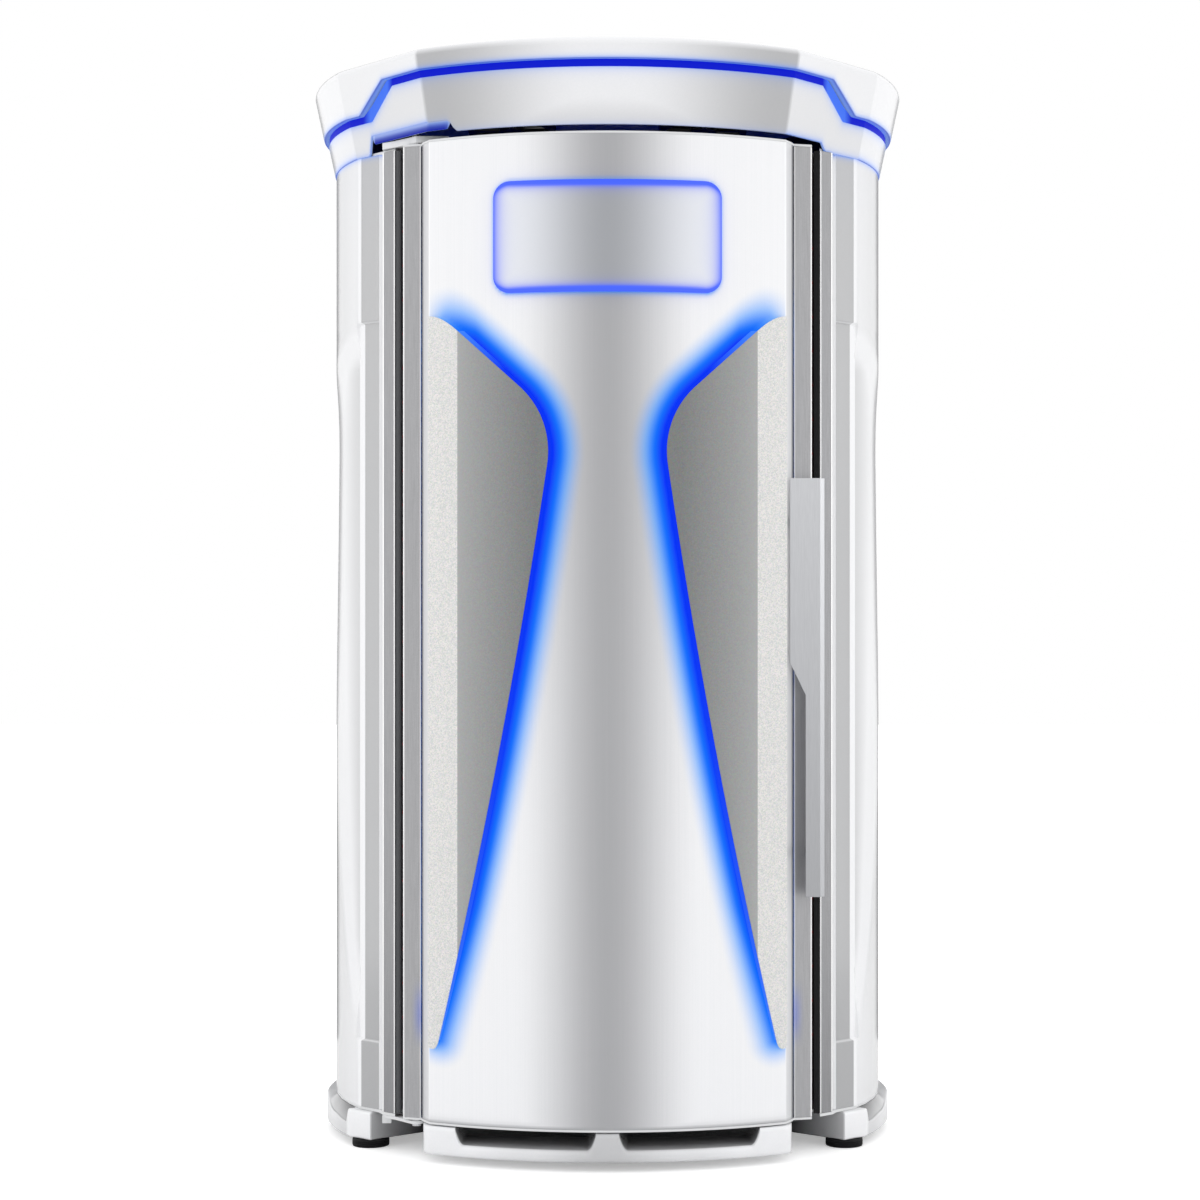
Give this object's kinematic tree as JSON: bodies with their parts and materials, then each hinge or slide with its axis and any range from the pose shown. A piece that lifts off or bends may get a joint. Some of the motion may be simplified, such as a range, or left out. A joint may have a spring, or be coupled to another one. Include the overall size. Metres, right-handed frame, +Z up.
{
  "type": "red light therapy booth",
  "caption": "Stand-up round light therapy booth with an outward-swinging curved door, flared canopy with a lit groove, lit silver door wings, pull handle and a lined light cabin.",
  "frame": {"origin": "on the floor under the middle of the round body", "axes": "+Z up, -Y towards the door front, +X to the right of someone facing the door"},
  "size_m": [1.3124, 1.2718, 2.3099],
  "materials": {
    "white_gloss": "gloss white moulded shell",
    "pearl_white": "pearl white paint",
    "satin_aluminium": "satin anodised",
    "silver_film": "sparkle silver",
    "blue_light": "lit blue light guide",
    "frosted_acrylic": "frosted, edge lit",
    "clear_acrylic": "clear acrylic sheet",
    "black_rubber": "matt black",
    "grey_rubber": "dark grey",
    "painted_steel": "grey powder coat",
    "white_steel": "white powder coat",
    "bright_steel": "turned steel",
    "light_board": "white solder-masked board",
    "black_plastic": "moulded black",
    "grey_plastic": "moulded grey",
    "red_plastic": "moulded red"
  },
  "bodies": {
    "cabinet": {"base_tray": "white_gloss", "front_sill": "white_gloss", "foot_front_left": "black_rubber", "foot_front_right": "black_rubber", "foot_rear_left": "black_rubber", "foot_rear_right": "black_rubber", "floor_deck": "white_steel", "tread_plate": "painted_steel", "side_shell_left": "white_gloss", "side_shell_right": "white_gloss", "rear_panel": "white_gloss", "front_post_left": "satin_aluminium", "front_post_right": "satin_aluminium", "rear_post_left": "satin_aluminium", "rear_post_right": "satin_aluminium", "hinge_seal": "grey_rubber", "latch_seal": "black_rubber", "canopy_lower_shell": "white_gloss", "canopy_upper_shell": "white_gloss", "canopy_light_strip": "blue_light", "ceiling_plate": "white_steel", "roof_cover": "white_gloss", "fan_frame_left": "black_plastic", "fan_frame_right": "black_plastic", "light_driver": "painted_steel", "control_box": "grey_plastic", "power_gland": "black_plastic", "catch_magnet": "grey_plastic", "lower_pivot_bracket": "white_steel", "upper_pivot_bracket": "white_steel", "lower_pivot_pin": "bright_steel", "upper_pivot_pin": "bright_steel", "wall_cover_left": "clear_acrylic", "wall_cover_rear": "clear_acrylic", "wall_cover_right": "clear_acrylic", "wall_light_board_1": "light_board", "wall_light_board_2": "light_board", "wall_light_board_3": "light_board", "wall_light_board_4": "light_board", "wall_light_board_5": "light_board", "wall_light_board_6": "light_board"},
    "door": {"door_skin": "pearl_white", "hinge_stile": "satin_aluminium", "latch_stile": "satin_aluminium", "door_top_cap": "white_steel", "door_bottom_cap": "white_steel", "door_inner_panel": "white_steel", "door_light_board": "light_board", "door_cover": "clear_acrylic", "wing_trim_left": "silver_film", "wing_trim_right": "silver_film", "wing_light_left": "blue_light", "wing_light_right": "blue_light", "sign_plate": "frosted_acrylic", "sign_light_frame": "blue_light", "door_handle": "satin_aluminium", "strike_plate": "bright_steel"},
    "fan_left": {"fan_rotor_left": "black_plastic"},
    "fan_right": {"fan_rotor_right": "black_plastic"},
    "stop_button": {"stop_button": "red_plastic"}
  },
  "joints": [
    {"name": "door_swing", "type": "hinge", "parent": "cabinet", "child": "door", "pos_m": [-0.4013, -0.43104, 0.0807], "axis": [0, 0, -1], "range_deg": [0, 100]},
    {"name": "fan_left_spin", "type": "hinge", "parent": "cabinet", "child": "fan_left", "pos_m": [-0.22, 0.1, 2.2589], "axis": [0, 0, 1], "continuous": true},
    {"name": "fan_right_spin", "type": "hinge", "parent": "cabinet", "child": "fan_right", "pos_m": [0.22, 0.1, 2.2589], "axis": [0, 0, 1], "continuous": true},
    {"name": "stop_button_press", "type": "slide", "parent": "cabinet", "child": "stop_button", "axis": [1, 0, 0], "range_m": [0, 0.004], "stiffness_N_per_m": 500}
  ]
}
